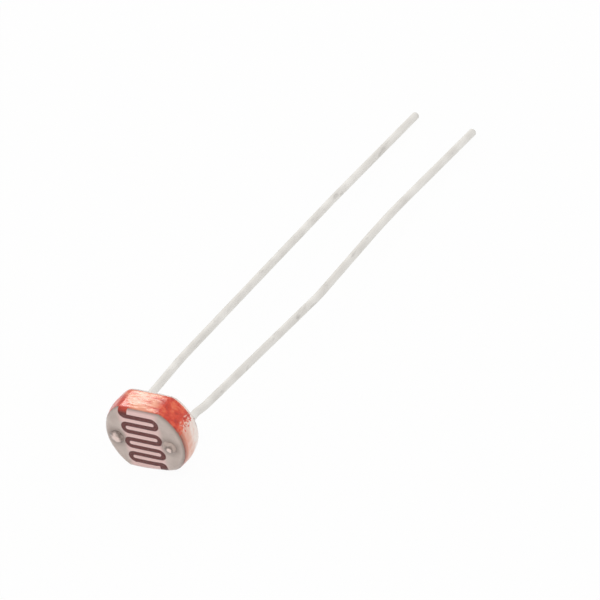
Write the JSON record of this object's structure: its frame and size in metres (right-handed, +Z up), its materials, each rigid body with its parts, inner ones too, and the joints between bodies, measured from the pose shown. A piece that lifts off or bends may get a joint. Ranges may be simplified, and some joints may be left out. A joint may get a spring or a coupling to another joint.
{
  "type": "photoresistor",
  "caption": "Light-dependent resistor: a round head with flats carries a serpentine track between comb electrodes under clear resin, on long wire leads.",
  "frame": {"origin": "on the lower flat, under the middle of the head's thickness and midway between the leads", "axes": "+X to the right seen from the face, +Y from the face towards the tips of the leads, +Z up from the table"},
  "size_m": [0.007, 0.0344, 0.0043],
  "materials": {
    "alumina_ceramic": "pressed white ceramic, stained pink",
    "cadmium_sulphide": "sintered red layer, matt",
    "electrode_film": "thin metal film, satin",
    "conductive_paste": "cured metal paste, satin",
    "tinned_wire": "tin-plated steel wire, satin",
    "clear_resin": "clear dipped resin, glossy"
  },
  "bodies": {
    "root": {"ceramic_base": "alumina_ceramic", "photoconductive_layer": "cadmium_sulphide", "left_electrode": "electrode_film", "right_electrode": "electrode_film", "left_contact": "conductive_paste", "right_contact": "conductive_paste", "left_lead": "tinned_wire", "right_lead": "tinned_wire", "resin_coat": "clear_resin"}
  },
  "joints": []
}
